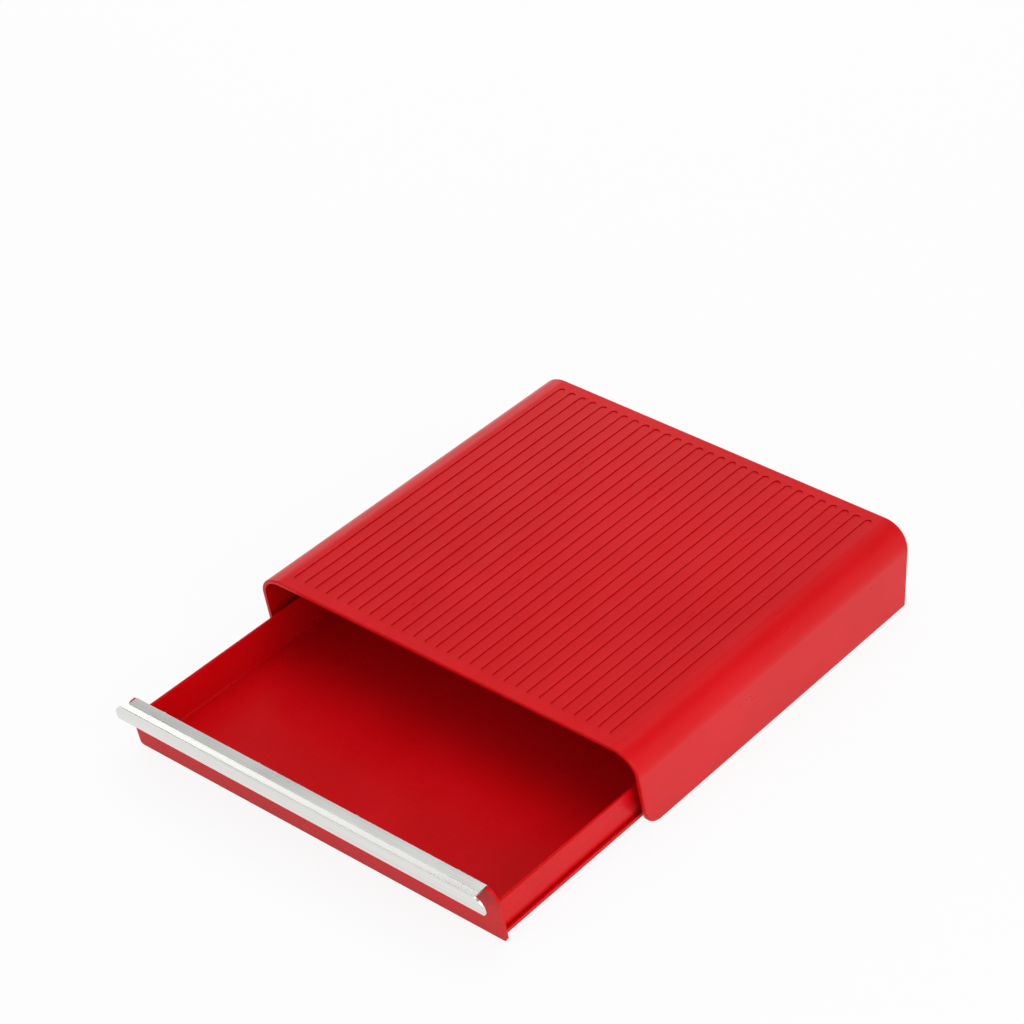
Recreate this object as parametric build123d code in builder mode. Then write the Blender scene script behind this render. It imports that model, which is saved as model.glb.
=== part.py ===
from build123d import *
import math
import os

os.makedirs("parts", exist_ok=True)

# Coffee pod drawer: a hood that stands on the counter and takes a load on its roof, and a
# shallow drawer that slides out of the hood on two runners, pulled by a metal handle strip.
# Axes: +X to the right, -Y to the front (the drawer opens towards -Y), +Z up.
# Origin: on the counter, in the middle of the box around the whole, drawer standing open.
# All sizes are in millimetres. The cells set the size of the drawer, the drawer sets the
# places of the runners, and the hood goes round them.

# ---------------------------------------------------------------- tray
cell_pitch = 50.5            # middle of a cell to the middle of the next, both ways
cell_columns = 6
cell_rows = 6
cell_foot_radius = 18.2      # what stands on the floor is this wide at its foot
front_margin = 0.8           # foot circles of the front row to the inside of the drawer front
rear_margin = 2.5            # foot circles of the rear row to the rear wall
side_slack = 0.1             # outermost cell to a side wall

tray_wall = 2.2
tray_floor = 2.4
tray_ground_gap = 2.4        # counter to the underside of the floor
tray_depth = 29.2            # floor to the top of the side walls
tray_corner_radius = 4.0     # inside rear corners
tray_rear_round = 2.0        # outside rear corners
floor_round = 1.5            # inside, where the floor meets the walls
wall_top_round = 0.9

# ---------------------------------------------------------------- drawer front
front_lean = 12.0            # degrees, the mouth and the drawer front lean forward going up
front_thickness = 2.2
front_ground_gap = 1.5       # along the drawer front, counter to its lower edge
front_rise = 16.0            # along the drawer front, top of the side walls to its shoulders
front_side_gap = 2.5         # drawer front to the foot of the hood's side wall, inside
front_crown = 3.0            # the shoulder arcs would run out this far above the shoulders
front_crown_radius = 17.0
front_foot_radius = 3.0
front_edge_round = 0.6

# ---------------------------------------------------------------- flanges of the tray
flange_width = 2.4           # ledge along each side wall, rides in a runner
flange_thickness = 3.0
flange_rise = 3.6            # underside of the floor to the underside of a flange
stop_length = 8.0            # raised rear end of a flange
stop_height = 1.8

# ---------------------------------------------------------------- runners and feet
run_clearance = 0.3          # flange to runner, above and below
side_clearance = 0.6         # side wall of the drawer to a runner
tip_clearance = 0.5          # edge of a flange to the bottom of the runner's channel
runner_web = 3.9             # outside of a runner, beside its channel
ledge_thickness = 4.3        # under the flange
runner_lip = 2.0             # thickness of the lip that holds the flange down
runner_set_back = 30.0       # front edge of the roof to the front end of a runner
runner_wall_gap = 0.4        # runner to the foot of the hood's side wall
lead_in = 1.2                # chamfer at the front end of the ledge

foot_length = 28.0
foot_width = 4.8
foot_recess = 0.6            # how deep a foot sits in the runner
foot_clearance = 0.1
foot_set_in = 34.0           # end of the runner to the middle of a foot
foot_chamfer = 0.4

# ---------------------------------------------------------------- hood
hood_wall = 3.0
hood_ground_gap = 1.0        # counter to the bottom edge of the side walls
mouth_gap = 14.84            # crest of the handle strip to the roof, inside
rear_room = 5.6              # closed drawer to the back wall
side_draft = 1.2             # degrees, the side walls lean in towards the roof
shoulder_radius = 20.0       # outside, where a side wall turns into the roof
mouth_foot_radius = 18.0     # rounded lower front corner of a side wall
rim_round = 1.0              # softened outer edge of the mouth
back_round = 1.5             # softened outer edge of the back

groove_count = 29            # long shallow grooves in the roof, front to back
groove_width = 5.8
groove_depth = 0.6
groove_end_width = 2.2       # straight middle of a groove's end, between its cut corners
groove_margin = 10.0         # end of a groove to the front or back edge of the roof
groove_side_margin = 6.35    # middle of the outermost groove to the start of the shoulder

rib_thickness = 2.0          # ribs under the roof, they take the load
rib_depth = 6.0
rib_set_back = 34.0          # front edge of the roof to the first cross rib
rib_reach = 6.0              # the cross ribs run this far into the shoulders
rib_root = 0.5               # how deep a rib is rooted in the wall it stands on
cross_rib_count = 6
long_rib_count = 5

# ---------------------------------------------------------------- handle strip
strip_sheet = 1.5
strip_lift = 0.45            # back edge of the strip above the shoulders of the drawer front
strip_dip_rise = 1.2         # lowest line of the top, above the back edge along the front
strip_dip_reach = 5.6        # drawer front to that lowest line
strip_crest_rise = 3.6       # crest above the back edge
strip_reach = 11.8           # drawer front to the outside of the skirt
strip_side_gap = 1.0         # end of the skirt to the edge of the drawer front
skirt_height = 14.5          # crest to the lower edge of the skirt
skirt_crown_radius = 10.0    # upper corners of the skirt
skirt_foot_radius = 1.8      # lower corners of the skirt
top_set_in = 7.75            # end of the skirt to the end of the strip's top
leg_set_in = 6.25            # end of the top to the end of the leg
leg_drop = 9.7               # back edge of the strip to the lower edge of the leg
bend_round = 0.7
notch_clearance = 0.1        # strip to the edges of its notch in the drawer front

# ---------------------------------------------------------------- fasteners
runner_screw_radius = 1.1
runner_screw_length = 16.0
runner_screw_head_radius = 1.7
runner_screw_head_height = 1.3
runner_screw_inset = 2.2     # screw axis to the outer face of the runner
runner_screw_set_in = 9.0    # end of the runner to the end screws
runner_screw_recess = 1.6    # how deep the heads lie in the underside
boss_radius = 2.6
boss_height = 22.0
boss_end = 2.0               # solid end of a boss above its hole

handle_screw_radius = 1.5
handle_screw_head_radius = 2.8
handle_screw_head_height = 1.7
handle_screw_head_chamfer = 0.5
handle_screw_tip = 1.2       # how far a tip stands out of the leg
handle_screw_count = 4
handle_screw_set_in = 17.5   # end of the leg to the end screws
handle_screw_rise = 5.0      # lower edge of the leg to the screw axis
hole_clearance = 0.2         # around a screw where it only passes through
thread_clearance = 0.05      # around a screw where it bites
head_clearance = 0.1
driver_slot_width = 0.7
driver_slot_depth = 0.6
driver_slot_margin = 0.6     # end of a driver slot to the edge of the screw head

# ---------------------------------------------------------------- travel of the drawer
opening = 142.0              # it stands open this far from its closed place
extra_opening = 72.0         # and still slides this much further before it is stopped
stop_gap = 0.3               # left between the stops at either end
closed_recess = 1.1          # foot of the drawer front behind the mouth when closed

# ---------------------------------------------------------------- sizes that follow: heights
lean = math.radians(front_lean)
draft = math.radians(side_draft)

floor_z = tray_ground_gap + tray_floor
tray_top = floor_z + tray_depth
flange_bottom = tray_ground_gap + flange_rise
flange_top = flange_bottom + flange_thickness
ledge_z = flange_bottom - run_clearance
lip_z = flange_top + run_clearance
runner_top = lip_z + runner_lip
runner_bottom = ledge_z - ledge_thickness
foot_top = runner_bottom + foot_recess
head_seat_z = runner_bottom + runner_screw_recess

# Heights along the leaning drawer front.
shoulder = tray_top / math.cos(lean) + front_rise
strip_back = shoulder + strip_lift
strip_dip = strip_back + strip_dip_rise
crest = strip_back + strip_crest_rise
skirt_foot = crest - skirt_height
leg_foot = strip_back - leg_drop
notch_foot = strip_back - strip_sheet - notch_clearance
handle_screw_height = leg_foot + handle_screw_rise

crest_z = crest * math.cos(lean) - strip_reach * math.sin(lean)
roof_inside_z = crest_z + mouth_gap
roof_z = roof_inside_z + hood_wall

# ---------------------------------------------------------------- sizes that follow: widths
inner_half_width = cell_columns * cell_pitch / 2 + side_slack
outer_half_width = inner_half_width + tray_wall
flange_half_width = outer_half_width + flange_width
runner_inner = outer_half_width + side_clearance
channel_x = flange_half_width + tip_clearance
runner_outer = channel_x + runner_web
foot_x = (runner_inner + runner_outer) / 2
screw_x = runner_outer - runner_screw_inset

inner_half_foot = runner_outer + runner_wall_gap
inner_half_roof = inner_half_foot - (roof_inside_z - hood_ground_gap) * math.tan(draft)
hood_half_foot = inner_half_foot + hood_wall
hood_half_roof = hood_half_foot - (roof_z - hood_ground_gap) * math.tan(draft)

front_half_width = inner_half_foot - front_side_gap
skirt_half_width = front_half_width - strip_side_gap
top_half_width = skirt_half_width - top_set_in
leg_half_width = top_half_width - leg_set_in
handle_screw_span = 2 * (leg_half_width - handle_screw_set_in)
handle_screw_spacing = handle_screw_span / (handle_screw_count - 1)

# ---------------------------------------------------------------- sizes that follow: depths
front_face_depth = front_thickness / math.cos(lean)
floor_start = front_face_depth - floor_z * math.tan(lean)
floor_length = front_margin + 2 * cell_foot_radius + (cell_rows - 1) * cell_pitch + rear_margin
drawer_depth = floor_start + floor_length + tray_wall
mouth_overhang = roof_z * math.tan(lean)
hood_depth = mouth_overhang + closed_recess + drawer_depth + rear_room + hood_wall

# The crest of the strip is the foremost line, the back of the hood the rearmost.
crest_slope = (crest - strip_dip) / (strip_reach - strip_dip_reach)
crest_drop = bend_round * (crest_slope + math.sqrt(1 + crest_slope**2))
bend_axis_out = (strip_reach - bend_round) * math.cos(lean)
bend_axis_lead = bend_axis_out + (crest - crest_drop) * math.sin(lean)
reach = opening - closed_recess - mouth_overhang + bend_axis_lead + bend_round

hood_front = (reach - hood_depth) / 2
hood_back = hood_front + hood_depth
mouth_y = hood_front + mouth_overhang
front_y = mouth_y + closed_recess - opening
tray_back = front_y + drawer_depth
tray_back_inner = tray_back - tray_wall
flange_back = tray_back - tray_rear_round
stop_front = flange_back - stop_length

runner_front = hood_front + runner_set_back
runner_back = hood_back - hood_wall
runner_length = runner_back - runner_front
channel_back = flange_back + opening + stop_gap
lip_back = stop_front - extra_opening - stop_gap
foot_front_y = runner_front + foot_set_in
foot_rear_y = runner_back - foot_set_in
screw_ys = [
    runner_front + runner_screw_set_in,
    (runner_front + runner_back) / 2,
    runner_back - runner_screw_set_in,
]

# The plane of the drawer front: X across, Y up along the front, Z out of it.
front_plane = Plane(
    origin=(0, front_y, 0),
    x_dir=(1, 0, 0),
    z_dir=(0, -math.cos(lean), -math.sin(lean)),
)
front_inside_plane = front_plane.offset(-front_thickness)

# ---------------------------------------------------------------- hood
back_plane = Plane(origin=(0, hood_back, 0), x_dir=(1, 0, 0), z_dir=(0, -1, 0))

with BuildPart() as hood:
    # Arched section, run from the back to the front.
    with BuildSketch(back_plane):
        with BuildLine():
            Polyline(
                (-hood_half_foot, hood_ground_gap),
                (-hood_half_roof, roof_z),
                (hood_half_roof, roof_z),
                (hood_half_foot, hood_ground_gap),
                close=True,
            )
        make_face()
        fillet(vertices().group_by(Axis.Y)[-1], shoulder_radius)
    extrude(amount=hood_depth)

    # Side view: leaning mouth, rounded lower front corners.
    with BuildSketch(Plane.YZ):
        with BuildLine():
            Polyline(
                (hood_back, hood_ground_gap),
                (hood_back, roof_z),
                (hood_front, roof_z),
                (mouth_y - hood_ground_gap * math.tan(lean), hood_ground_gap),
                close=True,
            )
        make_face()
        fillet(vertices().group_by(Axis.Y)[0].sort_by(Axis.X)[0], mouth_foot_radius)
    extrude(amount=2 * hood_half_foot, both=True, mode=Mode.INTERSECT)

    # Softened outer edges at the back and round the mouth.
    back_rim = edges().group_by(Axis.Y)[-1]
    fillet(back_rim.filter_by(lambda e: e.center().Z > 2 * hood_ground_gap), back_round)
    mouth_face = faces().sort_by(lambda f: f.normal_at().Y)[0]
    mouth_rim = mouth_face.edges().filter_by(lambda e: e.center().Z > mouth_foot_radius)
    fillet(mouth_rim, rim_round)

    # Hollow, open at the mouth and below.
    with BuildSketch(back_plane.offset(hood_wall)):
        with BuildLine():
            Polyline(
                (-inner_half_foot, hood_ground_gap),
                (-inner_half_roof, roof_inside_z),
                (inner_half_roof, roof_inside_z),
                (inner_half_foot, hood_ground_gap),
                close=True,
            )
        make_face()
        fillet(vertices().group_by(Axis.Y)[-1], shoulder_radius - hood_wall)
    extrude(amount=hood_depth, mode=Mode.SUBTRACT)

    # Grooves in the roof, with cut corners at their ends.
    groove_span = 2 * (hood_half_roof - shoulder_radius - groove_side_margin)
    groove_pitch = groove_span / (groove_count - 1)
    with BuildSketch(Plane.XY.offset(roof_z)):
        with Locations((0, (hood_front + hood_back) / 2)):
            with GridLocations(groove_pitch, 1, groove_count, 1):
                Rectangle(groove_width, hood_depth - 2 * groove_margin)
        chamfer(vertices(), (groove_width - groove_end_width) / 2)
    extrude(amount=-groove_depth, mode=Mode.SUBTRACT)

    # Ribs under the roof.
    rib_front = hood_front + rib_set_back
    rib_length = hood_back - hood_wall + rib_root - rib_front
    cross_rib_pitch = rib_length / cross_rib_count
    cross_middle = rib_front + (cross_rib_count - 1) * cross_rib_pitch / 2
    rib_half_span = inner_half_roof - shoulder_radius + hood_wall + rib_reach
    long_rib_pitch = 2 * rib_half_span / (long_rib_count + 1)
    with BuildSketch(Plane.XY.offset(roof_inside_z + rib_root)):
        with Locations((0, cross_middle)):
            with GridLocations(1, cross_rib_pitch, 1, cross_rib_count):
                Rectangle(2 * rib_half_span, rib_thickness)
        with Locations((0, rib_front + rib_length / 2)):
            with GridLocations(long_rib_pitch, 1, long_rib_count, 1):
                Rectangle(rib_thickness, rib_length)
    extrude(amount=-(rib_depth + rib_root))

    # Screw bosses along the side walls, standing on the runners.
    for screw_y in screw_ys:
        with BuildSketch(Plane.XY.offset(runner_top)):
            with Locations((-screw_x, screw_y), (screw_x, screw_y)):
                Circle(boss_radius)
        extrude(amount=boss_height)
        with BuildSketch(Plane.XY.offset(runner_top)):
            with Locations((-screw_x, screw_y), (screw_x, screw_y)):
                Circle(runner_screw_radius + thread_clearance)
        extrude(amount=boss_height - boss_end, mode=Mode.SUBTRACT)
hood.part.label = "hood"
export_step(hood.part, "parts/hood.step")

# ---------------------------------------------------------------- runners
runner_plane = Plane(origin=(0, runner_back, 0), x_dir=(1, 0, 0), z_dir=(0, -1, 0))
runner_width = runner_outer - runner_inner

with BuildPart() as right_runner:
    # Ledge and web over the whole length.
    with BuildSketch(runner_plane):
        with BuildLine():
            Polyline(
                (runner_inner, runner_bottom),
                (runner_inner, ledge_z),
                (channel_x, ledge_z),
                (channel_x, runner_top),
                (runner_outer, runner_top),
                (runner_outer, runner_bottom),
                close=True,
            )
        make_face()
    extrude(amount=runner_length)

    # Lip over the front part of the channel. Its rear end stops the open drawer.
    with BuildSketch(Plane.XY.offset(lip_z)):
        with Locations((runner_inner, runner_front)):
            Rectangle(runner_width, lip_back - runner_front, align=(Align.MIN, Align.MIN))
    extrude(amount=runner_lip)

    # Closed rear end, the stop for the closed drawer.
    with BuildSketch(Plane.XY.offset(ledge_z)):
        with Locations((runner_inner, channel_back)):
            Rectangle(runner_width, runner_back - channel_back, align=(Align.MIN, Align.MIN))
    extrude(amount=runner_top - ledge_z)

    # Lead-in at the front end of the ledge.
    front_edges = edges().filter_by(Axis.X).group_by(Axis.Y)[0]
    chamfer(front_edges.sort_by(lambda e: abs(e.center().Z - ledge_z))[0], lead_in)

    # Recesses for the feet.
    with BuildSketch(Plane.XY.offset(runner_bottom)):
        with Locations((foot_x, foot_front_y), (foot_x, foot_rear_y)):
            Rectangle(foot_width + 2 * foot_clearance, foot_length + 2 * foot_clearance)
    extrude(amount=foot_recess, mode=Mode.SUBTRACT)

    # Holes for the screws, with recesses for their heads.
    for screw_y in screw_ys:
        with BuildSketch(Plane.XY.offset(runner_bottom)):
            with Locations((screw_x, screw_y)):
                Circle(runner_screw_head_radius + head_clearance)
        extrude(amount=runner_screw_recess, mode=Mode.SUBTRACT)
        with BuildSketch(Plane.XY.offset(runner_bottom)):
            with Locations((screw_x, screw_y)):
                Circle(runner_screw_radius + hole_clearance)
        extrude(amount=runner_top, mode=Mode.SUBTRACT)
right_runner.part.label = "right_runner"
export_step(right_runner.part, "parts/right_runner.step")

with BuildPart() as left_runner:
    mirror(right_runner.part, about=Plane.YZ)
left_runner.part.label = "left_runner"
export_step(left_runner.part, "parts/left_runner.step")

# ---------------------------------------------------------------- runner screws
runner_slot_length = 2 * (runner_screw_head_radius - driver_slot_margin)

with BuildPart() as runner_screws:
    for screw_y in screw_ys:
        with BuildSketch(Plane.XY.offset(head_seat_z)):
            with Locations((-screw_x, screw_y), (screw_x, screw_y)):
                Circle(runner_screw_radius)
        extrude(amount=runner_screw_length)
        with BuildSketch(Plane.XY.offset(head_seat_z)):
            with Locations((-screw_x, screw_y), (screw_x, screw_y)):
                Circle(runner_screw_head_radius)
        extrude(amount=-runner_screw_head_height)
        with BuildSketch(Plane.XY.offset(head_seat_z - runner_screw_head_height)):
            with Locations((-screw_x, screw_y), (screw_x, screw_y)):
                Rectangle(runner_slot_length, driver_slot_width)
                Rectangle(driver_slot_width, runner_slot_length)
        extrude(amount=driver_slot_depth, mode=Mode.SUBTRACT)
runner_screws.part.label = "runner_screws"
export_step(runner_screws.part, "parts/runner_screws.step")

# ---------------------------------------------------------------- rubber feet
foot_places = {
    "front_left_foot": (-foot_x, foot_front_y),
    "front_right_foot": (foot_x, foot_front_y),
    "rear_left_foot": (-foot_x, foot_rear_y),
    "rear_right_foot": (foot_x, foot_rear_y),
}

for foot_name, foot_place in foot_places.items():
    with BuildPart() as foot:
        with BuildSketch(Plane.XY):
            with Locations(foot_place):
                Rectangle(foot_width, foot_length)
        extrude(amount=foot_top)
        chamfer(edges().group_by(Axis.Z)[0], foot_chamfer)
    foot.part.label = foot_name
    export_step(foot.part, f"parts/{foot_name}.step")

# ---------------------------------------------------------------- drawer
tray_start = front_y + front_face_depth / 2
wall_middle_width = 2 * outer_half_width - tray_wall

with BuildPart() as drawer:
    # Tray: a low box whose front end lies inside the leaning drawer front.
    with BuildSketch(Plane.YZ):
        with BuildLine():
            Polyline(
                (tray_start - tray_ground_gap * math.tan(lean), tray_ground_gap),
                (tray_start - tray_top * math.tan(lean), tray_top),
                (tray_back, tray_top),
                (tray_back, tray_ground_gap),
                close=True,
            )
        make_face()
    extrude(amount=outer_half_width, both=True)
    fillet(edges().filter_by(Axis.Z).group_by(Axis.Y)[-1], tray_rear_round)

    # Hollow of the tray, open to the front until the drawer front closes it.
    with BuildSketch(Plane.XY.offset(floor_z)):
        with Locations((0, tray_back_inner)):
            Rectangle(
                2 * inner_half_width,
                drawer_depth + tray_top,
                align=(Align.CENTER, Align.MAX),
            )
        fillet(vertices().group_by(Axis.Y)[-1], tray_corner_radius)
    extrude(amount=tray_top, mode=Mode.SUBTRACT)

    # Rounded tops of the walls, and a rounded foot inside them.
    wall_tops = faces().filter_by(Axis.Z).group_by(Axis.Z)[-1]
    fillet(wall_tops.edges().filter_by(lambda e: e.length > 2 * tray_wall), wall_top_round)
    floor_face = faces().filter_by(Axis.Z).sort_by(Axis.Z)[1]
    floor_edges = floor_face.edges().filter_by(lambda e: e.center().Y > front_y + floor_start)
    fillet(floor_edges, floor_round)

    # Drawer front: a leaning plate with an arched shoulder at each end of its upper edge.
    with BuildSketch(front_plane):
        with Locations((0, front_ground_gap)):
            Rectangle(
                2 * front_half_width,
                shoulder + front_crown - front_ground_gap,
                align=(Align.CENTER, Align.MIN),
            )
        fillet(vertices().group_by(Axis.Y)[-1], front_crown_radius)
        fillet(vertices().group_by(Axis.Y)[0], front_foot_radius)
        with Locations((0, shoulder)):
            Rectangle(
                2 * front_half_width,
                2 * front_crown,
                align=(Align.CENTER, Align.MIN),
                mode=Mode.SUBTRACT,
            )
    extrude(amount=-front_thickness)
    fillet(faces().sort_by(Axis.Y)[0].edges(), front_edge_round)

    # Notch between the shoulders, the top of the handle strip lies in it.
    with BuildSketch(front_plane):
        with Locations((0, notch_foot)):
            Rectangle(
                2 * (top_half_width + notch_clearance),
                2 * strip_sheet,
                align=(Align.CENTER, Align.MIN),
            )
    extrude(amount=-2 * front_thickness, mode=Mode.SUBTRACT)

    # Flanges along the side walls, and their raised rear ends.
    with BuildSketch(Plane.XY.offset(flange_bottom)):
        with Locations((0, flange_back)):
            Rectangle(
                2 * flange_half_width,
                flange_back - front_y,
                align=(Align.CENTER, Align.MAX),
            )
            Rectangle(
                wall_middle_width,
                flange_back - front_y,
                align=(Align.CENTER, Align.MAX),
                mode=Mode.SUBTRACT,
            )
    extrude(amount=flange_thickness)
    with BuildSketch(Plane.XY.offset(flange_top)):
        with Locations((0, flange_back)):
            Rectangle(2 * flange_half_width, stop_length, align=(Align.CENTER, Align.MAX))
            Rectangle(
                wall_middle_width,
                stop_length,
                align=(Align.CENTER, Align.MAX),
                mode=Mode.SUBTRACT,
            )
    extrude(amount=stop_height)

    # Holes for the handle screws.
    with BuildSketch(front_plane):
        with Locations((0, handle_screw_height)):
            with GridLocations(handle_screw_spacing, 1, handle_screw_count, 1):
                Circle(handle_screw_radius + hole_clearance)
    extrude(amount=-2 * front_thickness, mode=Mode.SUBTRACT)
drawer.part.label = "drawer"
export_step(drawer.part, "parts/drawer.step")

# ---------------------------------------------------------------- handle strip
# The plane of its section: X out from the drawer front, Y up along it.
section_plane = Plane(
    origin=(0, front_y, 0),
    x_dir=(0, -math.cos(lean), -math.sin(lean)),
    z_dir=(-1, 0, 0),
)
blank_height = crest - skirt_foot

with BuildPart() as handle_strip:
    # Dipped top over the upper edge of the drawer front, crest, and free-hanging skirt.
    with BuildSketch(section_plane):
        with BuildLine():
            Polyline(
                (-front_thickness, strip_back),
                (strip_dip_reach, strip_dip),
                (strip_reach, crest),
                (strip_reach, skirt_foot),
            )
            offset(amount=strip_sheet, side=Side.RIGHT, kind=Kind.INTERSECTION)
        make_face()
        fillet(vertices().filter_by(lambda v: v.X > 0 and v.Y > handle_screw_height), bend_round)
    extrude(amount=skirt_half_width, both=True)

    # Front view: rounded corners of the skirt.
    with BuildSketch(front_inside_plane):
        with Locations((0, skirt_foot)):
            Rectangle(2 * skirt_half_width, blank_height, align=(Align.CENTER, Align.MIN))
        fillet(vertices().group_by(Axis.Y)[-1], skirt_crown_radius)
        fillet(vertices().group_by(Axis.Y)[0], skirt_foot_radius)
    extrude(amount=front_thickness + strip_reach, mode=Mode.INTERSECT)

    # The top ends before the skirt does.
    with BuildSketch(front_inside_plane):
        with Locations((0, skirt_foot)):
            Rectangle(2 * front_half_width, blank_height, align=(Align.CENTER, Align.MIN))
            Rectangle(
                2 * top_half_width,
                blank_height,
                align=(Align.CENTER, Align.MIN),
                mode=Mode.SUBTRACT,
            )
    extrude(amount=front_thickness + strip_reach - strip_sheet, mode=Mode.SUBTRACT)

    # Leg against the drawer front, rooted in the top.
    with BuildSketch(section_plane):
        with Locations((0, leg_foot)):
            Rectangle(
                strip_sheet,
                leg_drop - strip_sheet / 2,
                align=(Align.MIN, Align.MIN),
            )
    extrude(amount=leg_half_width, both=True)

    # Threaded holes in the leg.
    with BuildSketch(front_plane):
        with Locations((0, handle_screw_height)):
            with GridLocations(handle_screw_spacing, 1, handle_screw_count, 1):
                Circle(handle_screw_radius + thread_clearance)
    extrude(amount=2 * strip_sheet, mode=Mode.SUBTRACT)
handle_strip.part.label = "handle_strip"
export_step(handle_strip.part, "parts/handle_strip.step")

# ---------------------------------------------------------------- handle screws
handle_slot_length = 2 * (handle_screw_head_radius - driver_slot_margin)

with BuildPart() as handle_screws:
    with BuildSketch(front_inside_plane):
        with Locations((0, handle_screw_height)):
            with GridLocations(handle_screw_spacing, 1, handle_screw_count, 1):
                Circle(handle_screw_radius)
    extrude(amount=front_thickness + strip_sheet + handle_screw_tip)
    with BuildSketch(front_inside_plane):
        with Locations((0, handle_screw_height)):
            with GridLocations(handle_screw_spacing, 1, handle_screw_count, 1):
                Circle(handle_screw_head_radius)
    extrude(amount=-handle_screw_head_height)
    head_rims = edges().filter_by(GeomType.CIRCLE).group_by(Axis.Y)[-1]
    chamfer(head_rims, handle_screw_head_chamfer)
    with BuildSketch(front_inside_plane.offset(-handle_screw_head_height)):
        with Locations((0, handle_screw_height)):
            with GridLocations(handle_screw_spacing, 1, handle_screw_count, 1):
                Rectangle(handle_slot_length, driver_slot_width)
                Rectangle(driver_slot_width, handle_slot_length)
    extrude(amount=driver_slot_depth, mode=Mode.SUBTRACT)
handle_screws.part.label = "handle_screws"
export_step(handle_screws.part, "parts/handle_screws.step")

for piece in (hood, right_runner, left_runner, runner_screws, drawer, handle_strip, handle_screws):
    print(piece.part.label, "solids", len(piece.part.solids()), "valid", piece.part.is_valid)
print("hood", round(2 * hood_half_foot, 2), round(hood_depth, 2), round(roof_z, 2))
print("hood from", round(hood_front, 2), "to", round(hood_back, 2))
print("drawer front at the counter", round(front_y, 2), "rear of the tray", round(tray_back, 2))
print("runner from", round(runner_front, 2), "to", round(runner_back, 2), "lip to", round(lip_back, 2))
print("groove pitch", round(groove_pitch, 3), "screw spacing", round(handle_screw_spacing, 3))
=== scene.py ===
# %% [markdown]
# # Coffee pod drawer
# The real object is a low red hood that stands on a counter, with a shallow drawer that
# slides out of its leaning mouth and is pulled by a bright metal strip. Its shape is already
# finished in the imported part, so this script doesn't model it again. It loads that part as a
# fixed frame, gives each piece the finish that it has in real life, and sets up a studio.
# All lengths are in metres, in the part's own frame: X to the right, minus Y to the front,
# Z up, and the counter at Z = 0.

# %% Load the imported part
import math
import bpy
from mathutils import Matrix, Vector

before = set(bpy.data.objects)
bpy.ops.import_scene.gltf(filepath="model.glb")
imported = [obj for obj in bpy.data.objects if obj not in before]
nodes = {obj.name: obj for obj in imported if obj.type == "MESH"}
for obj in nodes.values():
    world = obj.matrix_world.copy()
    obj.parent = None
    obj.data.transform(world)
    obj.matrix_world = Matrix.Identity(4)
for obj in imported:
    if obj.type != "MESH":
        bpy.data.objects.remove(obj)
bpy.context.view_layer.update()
print("nodes", sorted(nodes))

# %% [markdown]
# ## Tools for the finishes
# A finish in Blender is a small network of nodes. It could be painted as a picture, but a
# pattern that is worked out from the object's own coordinates has no seams, needs no
# unwrapping and stays sharp close up. Each helper below adds one node and returns the socket
# that the next one needs, so that a finish reads as a short list of steps.

# %% An empty material, and a noise to drive it
even = (1, 1, 1)    # a stretch that leaves a pattern the same along all axes


def new_material(name):
    """A material that holds only its shader and the coordinates of the object."""
    mat = bpy.data.materials.new(name)
    mat.use_nodes = True
    tree = mat.node_tree
    tree.nodes.clear()
    out = tree.nodes.new("ShaderNodeOutputMaterial")
    shader = tree.nodes.new("ShaderNodeBsdfPrincipled")
    coords = tree.nodes.new("ShaderNodeTexCoord")
    tree.links.new(shader.outputs["BSDF"], out.inputs["Surface"])
    return mat, tree, shader, coords


def grain(tree, coords, stretch, scale, detail=3.0, rough=0.55):
    """A noise in the object's coordinates. A small stretch draws it out along that axis."""
    mapping = tree.nodes.new("ShaderNodeMapping")
    mapping.inputs["Scale"].default_value = stretch
    noise = tree.nodes.new("ShaderNodeTexNoise")
    noise.inputs["Scale"].default_value = scale
    noise.inputs["Detail"].default_value = detail
    noise.inputs["Roughness"].default_value = rough
    tree.links.new(coords.outputs["Object"], mapping.inputs["Vector"])
    tree.links.new(mapping.outputs["Vector"], noise.inputs["Vector"])
    return noise.outputs["Fac"]


print("helpers", new_material.__name__, grain.__name__)

# %% Turn a pattern into values, colours and bumps
def spread(tree, fac, low, high, at=(0.3, 0.7)):
    """Turns a pattern into a range of values, and holds it at both ends."""
    node = tree.nodes.new("ShaderNodeMapRange")
    node.inputs["From Min"].default_value = at[0]
    node.inputs["From Max"].default_value = at[1]
    node.inputs["To Min"].default_value = low
    node.inputs["To Max"].default_value = high
    tree.links.new(fac, node.inputs["Value"])
    return node.outputs["Result"]


def tint(tree, fac, first, second):
    """Mixes two colours by a pattern. The first may be a colour or a socket."""
    node = tree.nodes.new("ShaderNodeMix")
    node.data_type = "RGBA"
    if isinstance(first, bpy.types.NodeSocket):
        tree.links.new(first, node.inputs["A"])
    else:
        node.inputs["A"].default_value = (*first, 1)
    node.inputs["B"].default_value = (*second, 1)
    tree.links.new(fac, node.inputs["Factor"])
    return node.outputs["Result"]


def bump(tree, height, strength, distance):
    """A bump whose distance is its height in metres."""
    node = tree.nodes.new("ShaderNodeBump")
    node.inputs["Strength"].default_value = strength
    node.inputs["Distance"].default_value = distance
    tree.links.new(height, node.inputs["Height"])
    return node.outputs["Normal"]


def cover(node_name, mat):
    """Gives a node of the part this finish alone."""
    mesh = nodes[node_name].data
    mesh.materials.clear()
    mesh.materials.append(mat)


print("helpers", spread.__name__, tint.__name__, bump.__name__, cover.__name__)

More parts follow.
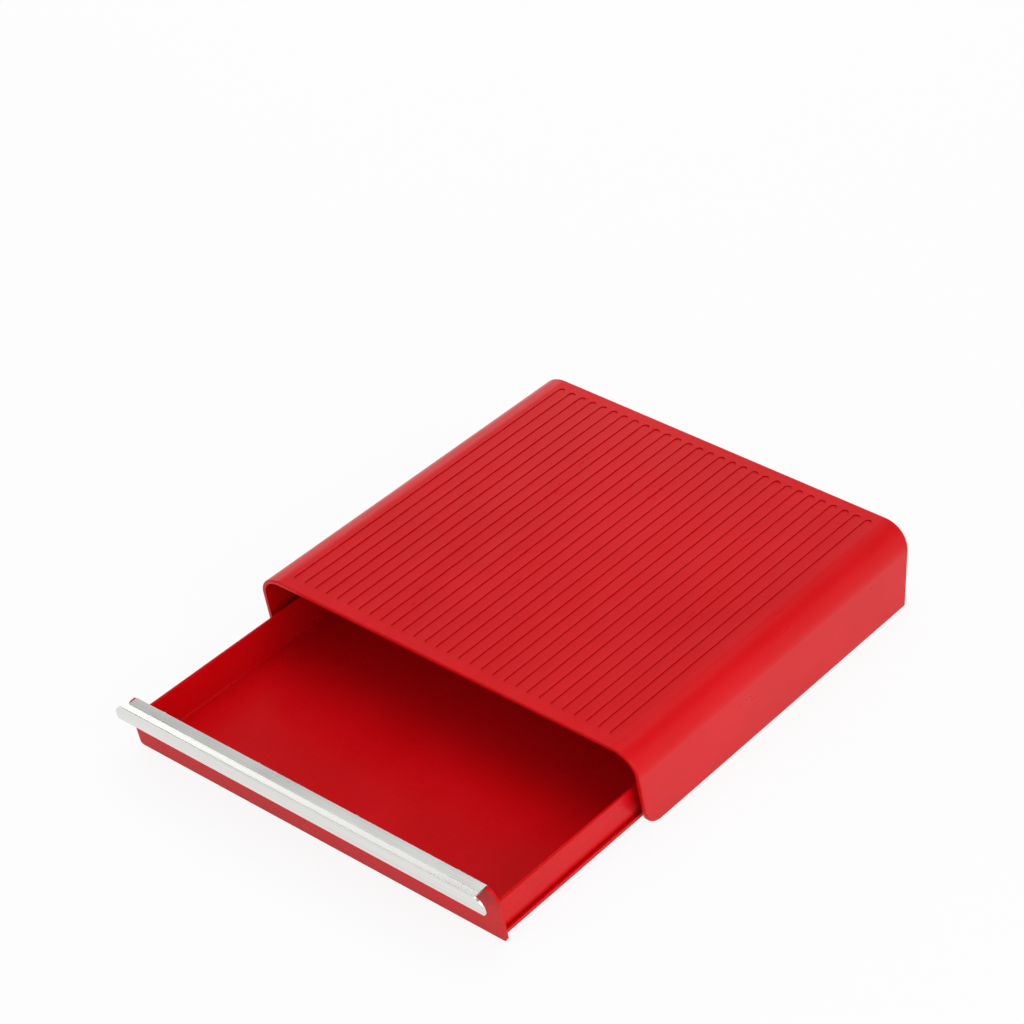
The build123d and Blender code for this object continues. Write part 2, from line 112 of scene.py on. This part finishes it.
# %% [markdown]
# ## Red moulded plastic
# The hood, the drawer and the runners are moulded in one satin red plastic. Such a surface is
# never quite even: the colour drifts a little, the mould leaves a fine skin that breaks up
# the gloss, and what slides over it leaves faint pale scuffs. Narrow corners such as the
# edges of the roof grooves fall into shade, and that shade is painted into the colour as a
# darker line. It could be modelled instead, but an Ambient Occlusion node with a reach of
# about a millimetre finds those corners by itself, wherever they are.

# %% Painted shade in corners
corner_reach = 0.0016
corner_samples = 8
corner_range = (0.55, 0.92)    # from fully dark to clear, in the node's own measure
# the dark red of the painted shade in corners
painted_corner_shade_red = (0.400, 0.0010, 0.0026)


def paint_corner_shade(tree, colour):
    """Paints shade into a colour in corners narrower than the reach."""
    node = tree.nodes.new("ShaderNodeAmbientOcclusion")
    node.inputs["Distance"].default_value = corner_reach
    node.samples = corner_samples
    shade = spread(tree, node.outputs["AO"], 1.0, 0.0, at=corner_range)
    return tint(tree, shade, colour, painted_corner_shade_red)


print("corners darker within mm", 1000 * corner_reach)

# %% Colours and patterns of the red plastic
deep_red = (0.620, 0.0020, 0.0050)
clear_red = (0.680, 0.0034, 0.0074)
scuffed_red = (0.680, 0.0420, 0.0480)

drift_scale = 11.0             # slow drift of the colour
skin_scale = 1500.0            # fine skin that the mould leaves
skin_strength = 0.10
skin_height = 0.00003
rub_scale = 55.0               # rubbing along Y, as the drawer slides
rub_stretch = (1.0, 0.25, 1.0)
scuff_range = (0.66, 0.80)     # only the strongest rubbing shows as a scuff
plastic_ior = 1.5
print("reds", deep_red, clear_red)

# %% Red plastic
def red_plastic(name, gloss_low, gloss_high, shine, scuffs):
    """Satin red plastic. Shine and scuffs, from 0 to 1, say how much of each shows."""
    mat, tree, shader, coords = new_material(name)
    drift = grain(tree, coords, even, drift_scale, detail=2.0)
    skin = grain(tree, coords, even, skin_scale, detail=2.0)
    rub = grain(tree, coords, rub_stretch, rub_scale, detail=6.0, rough=0.72)
    colour = tint(tree, spread(tree, drift, 0.0, 1.0), deep_red, clear_red)
    marks = spread(tree, rub, 0.0, scuffs, at=scuff_range)
    colour = tint(tree, marks, colour, scuffed_red)
    # the base colour gets painted shade in narrow corners, such as the groove edges
    tree.links.new(paint_corner_shade(tree, colour), shader.inputs["Base Color"])
    tree.links.new(spread(tree, rub, gloss_low, gloss_high), shader.inputs["Roughness"])
    tree.links.new(bump(tree, skin, skin_strength, skin_height), shader.inputs["Normal"])
    shader.inputs["IOR"].default_value = plastic_ior
    shader.inputs["Specular IOR Level"].default_value = shine
    return mat


hood_red = red_plastic("hood_red", gloss_low=0.26, gloss_high=0.36, shine=0.14, scuffs=0.22)
drawer_red = red_plastic("drawer_red", gloss_low=0.24, gloss_high=0.32, shine=0.08, scuffs=0.15)
for name in ("hood", "left_runner", "right_runner"):
    cover(name, hood_red)
cover("drawer", drawer_red)
print("red plastic on", ["hood", "left_runner", "right_runner", "drawer"])

# %% [markdown]
# ## Brushed metal strip
# The strip is one metal profile, brushed from end to end. Brushing leaves fine lines that all
# run one way, so a highlight is drawn out across them. A noise that is drawn out far along X
# gives those lines for the colour and for the bump alike, and a second, wider noise varies
# the gloss, as hands do on a piece that is pulled every day.

# %% Brushed metal
brushed_dark = (0.68, 0.68, 0.66)
brushed_light = (0.82, 0.82, 0.79)
streak_scale = 1100.0
streak_stretch = (0.004, 1.0, 1.0)
streak_strength = 0.15
streak_height = 0.00002
touch_scale = 40.0             # where hands have been
touch_stretch = (0.3, 1.0, 1.0)


def brushed_metal(name, rough_low, rough_high):
    """Metal that is brushed along X."""
    mat, tree, shader, coords = new_material(name)
    streak = grain(tree, coords, streak_stretch, streak_scale, detail=2.0)
    touch = grain(tree, coords, touch_stretch, touch_scale, detail=2.0)
    colour = tint(tree, spread(tree, streak, 0.0, 1.0), brushed_dark, brushed_light)
    tree.links.new(colour, shader.inputs["Base Color"])
    tree.links.new(spread(tree, touch, rough_low, rough_high), shader.inputs["Roughness"])
    tree.links.new(bump(tree, streak, streak_strength, streak_height), shader.inputs["Normal"])
    shader.inputs["Metallic"].default_value = 1.0
    return mat


strip_metal = brushed_metal("strip_metal", rough_low=0.24, rough_high=0.34)
cover("handle_strip", strip_metal)
print("brushed metal on handle_strip")

# %% [markdown]
# ## Screws and feet
# The screws are plain zinc-coated steel. Turning and the coating leave small cloudy marks, so
# one noise drives their colour, gloss and bump together. The feet are black rubber: matt,
# slightly grainy, and dusty grey rather than pure black.

# %% Screw steel
zinc_dark = (0.42, 0.42, 0.44)
zinc_light = (0.58, 0.57, 0.56)
zinc_scale = 900.0
zinc_strength = 0.2
zinc_height = 0.00003


def screw_steel(name):
    """Zinc-coated steel with cloudy marks."""
    mat, tree, shader, coords = new_material(name)
    marks = grain(tree, coords, even, zinc_scale, detail=3.0)
    colour = tint(tree, spread(tree, marks, 0.0, 1.0), zinc_dark, zinc_light)
    tree.links.new(colour, shader.inputs["Base Color"])
    tree.links.new(spread(tree, marks, 0.28, 0.45), shader.inputs["Roughness"])
    tree.links.new(bump(tree, marks, zinc_strength, zinc_height), shader.inputs["Normal"])
    shader.inputs["Metallic"].default_value = 1.0
    return mat


steel = screw_steel("screw_steel")
for name in ("runner_screws", "handle_screws"):
    cover(name, steel)
print("steel on", ["runner_screws", "handle_screws"])

# %% Foot rubber
rubber_black = (0.018, 0.018, 0.018)
rubber_dusty = (0.045, 0.044, 0.042)
dust_scale = 500.0
dust_strength = 0.3
dust_height = 0.0001


def foot_rubber(name):
    """Matt black rubber with a little dust."""
    mat, tree, shader, coords = new_material(name)
    dust = grain(tree, coords, even, dust_scale, detail=4.0, rough=0.6)
    colour = tint(tree, spread(tree, dust, 0.0, 1.0), rubber_black, rubber_dusty)
    tree.links.new(colour, shader.inputs["Base Color"])
    tree.links.new(spread(tree, dust, 0.7, 0.9), shader.inputs["Roughness"])
    tree.links.new(bump(tree, dust, dust_strength, dust_height), shader.inputs["Normal"])
    return mat


rubber = foot_rubber("foot_rubber")
feet = [name for name in sorted(nodes) if name.endswith("_foot")]
for name in feet:
    cover(name, rubber)
print("rubber on", feet)

# %% [markdown]
# ## White floor
# The object stands on white in the photograph. More light on a floor would whiten it too, but
# it would also wash out the red. So the floor mixes two shaders: a plain white one that takes
# the shadow and lights the object from below, and a glow of strength 1, which is exactly
# white. Light Path lets the glow in only for what the camera sees, directly or in a
# reflection. So the glow shows in the gloss of the object, but doesn't light it.

# %% Floor
floor_side = 12
floor_dull = (0.90, 0.90, 0.90)
floor_bright = (0.93, 0.93, 0.93)
floor_scale = 3.0

bpy.ops.mesh.primitive_plane_add(size=floor_side, location=(0, 0, 0))
floor = bpy.context.object
floor.name = "floor"
floor_mat, floor_tree, floor_shader, floor_coords = new_material("floor_white")
floor_cloud = grain(floor_tree, floor_coords, even, floor_scale, detail=2.0)
floor_tree.links.new(
    tint(floor_tree, floor_cloud, floor_dull, floor_bright),
    floor_shader.inputs["Base Color"],
)
floor_shader.inputs["Roughness"].default_value = 0.9
floor_shader.inputs["Specular IOR Level"].default_value = 0.1
floor.data.materials.append(floor_mat)
print("floor", [round(v, 2) for v in floor.dimensions])

# %% The floor's glow
glow_share = 0.90


def math_node(tree, operation, first, second):
    """A Math node on a socket and on a second socket or number."""
    node = tree.nodes.new("ShaderNodeMath")
    node.operation = operation
    tree.links.new(first, node.inputs[0])
    if isinstance(second, bpy.types.NodeSocket):
        tree.links.new(second, node.inputs[1])
    else:
        node.inputs[1].default_value = second
    return node.outputs["Value"]


path = floor_tree.nodes.new("ShaderNodeLightPath")
seen = math_node(
    floor_tree, "MAXIMUM", path.outputs["Is Camera Ray"], path.outputs["Is Glossy Ray"]
)
seen = math_node(floor_tree, "MAXIMUM", seen, path.outputs["Is Transmission Ray"])
glow = floor_tree.nodes.new("ShaderNodeEmission")
glow.inputs["Color"].default_value = (1, 1, 1, 1)
glow.inputs["Strength"].default_value = 1.0
blend = floor_tree.nodes.new("ShaderNodeMixShader")
floor_out = next(n for n in floor_tree.nodes if n.type == "OUTPUT_MATERIAL")
floor_tree.links.new(math_node(floor_tree, "MULTIPLY", seen, glow_share), blend.inputs["Fac"])
floor_tree.links.new(floor_shader.outputs["BSDF"], blend.inputs[1])
floor_tree.links.new(glow.outputs["Emission"], blend.inputs[2])
floor_tree.links.new(blend.outputs["Shader"], floor_out.inputs["Surface"])
print("share of the floor's glow", glow_share)

# %% [markdown]
# ## Light
# A studio for a small product is a white room with a darker ceiling: white near the horizon,
# so that sides and metal edges shine, and greyer overhead, so that the roof keeps its colour.
# The world makes that room with a grade by height. Three soft boxes add a gentle direction:
# one above, one from the right and a weak one at the front. A fourth, long and low, stands
# behind on the left, just where the crest of the metal strip mirrors it into the camera, and
# draws the bright line along the strip. Together they are set so that a colour renders about
# as it is written.

# %% World with a darker ceiling
wall_height = 0.32       # height on a ball of radius 1, up to which the room is white
ceiling_height = 0.62    # and from which it is as dark as the ceiling
wall_light = 1.0
ceiling_light = 0.30

world = bpy.data.worlds.new("studio")
bpy.context.scene.world = world
world.use_nodes = True
world_tree = world.node_tree
world_coords = world_tree.nodes.new("ShaderNodeTexCoord")
world_axes = world_tree.nodes.new("ShaderNodeSeparateXYZ")
world_tree.links.new(world_coords.outputs["Generated"], world_axes.inputs["Vector"])
world_grade = spread(
    world_tree, world_axes.outputs["Z"], wall_light, ceiling_light,
    at=(wall_height, ceiling_height),
)
background = world_tree.nodes["Background"]
background.inputs["Color"].default_value = (1, 1, 1, 1)
world_tree.links.new(world_grade, background.inputs["Strength"])
print("world from", wall_light, "at the walls to", ceiling_light, "overhead")

# %% Soft boxes
light_target = Vector((0.0, 0.0, 0.03))


def soft_light(name, place, width, height, watts):
    """A soft box that looks at the middle of the object."""
    data = bpy.data.lights.new(name, "AREA")
    data.shape = "RECTANGLE"
    data.size, data.size_y = width, height
    data.energy = watts
    lamp = bpy.data.objects.new(name, data)
    bpy.context.scene.collection.objects.link(lamp)
    lamp.location = place
    lamp.rotation_mode = "QUATERNION"
    lamp.rotation_quaternion = (light_target - Vector(place)).to_track_quat("-Z", "Y")


soft_light("top_box", place=(-0.2, 0.3, 2.2), width=2.2, height=2.2, watts=20)
soft_light("right_box", place=(2.0, -0.2, 0.9), width=1.4, height=1.2, watts=14)
soft_light("front_box", place=(-0.4, -2.2, 1.0), width=1.8, height=1.0, watts=5)
soft_light("crest_box", place=(-1.0, 1.3, 0.66), width=1.8, height=0.30, watts=3.4)
bpy.context.scene.view_settings.view_transform = "Standard"

# %% [markdown]
# ## Camera
# The camera stands to the front right and looks down, as in the photograph. It could be
# placed by eye, but then no edge would quite line up. Its place, angles and lens were solved
# instead, from straight edges and round outlines of known size in the photograph, so they are
# written here as they came out. The three directions of the camera are worked out from its
# angles.

# %% The camera's directions
camera_place = Vector((1.1133, -1.3780, 1.4141))
camera_azimuth = math.radians(39.07)
camera_elevation = math.radians(35.65)
camera_roll = math.radians(-0.73)

back = Vector((
    math.sin(camera_azimuth) * math.cos(camera_elevation),
    -math.cos(camera_azimuth) * math.cos(camera_elevation),
    math.sin(camera_elevation),
))
level = (-back).cross(Vector((0, 0, 1))).normalized()
upright = level.cross(-back)
right = math.cos(camera_roll) * level + math.sin(camera_roll) * upright
up = math.cos(camera_roll) * upright - math.sin(camera_roll) * level
print("camera looks along", [round(v, 3) for v in -back])

# %% Camera
camera_sensor = 36       # in millimetres, as is the lens
camera_lens = 114.92
camera_reach = 50

camera_data = bpy.data.cameras.new("camera")
camera_data.sensor_width = camera_sensor
camera_data.lens = camera_lens
camera_data.clip_end = camera_reach
camera = bpy.data.objects.new("camera", camera_data)
bpy.context.scene.collection.objects.link(camera)
camera.matrix_world = Matrix((
    (right.x, up.x, back.x, camera_place.x),
    (right.y, up.y, back.y, camera_place.y),
    (right.z, up.z, back.z, camera_place.z),
    (0, 0, 0, 1),
))
bpy.context.scene.camera = camera
print("camera at", [round(v, 3) for v in camera_place], "lens", camera_lens)
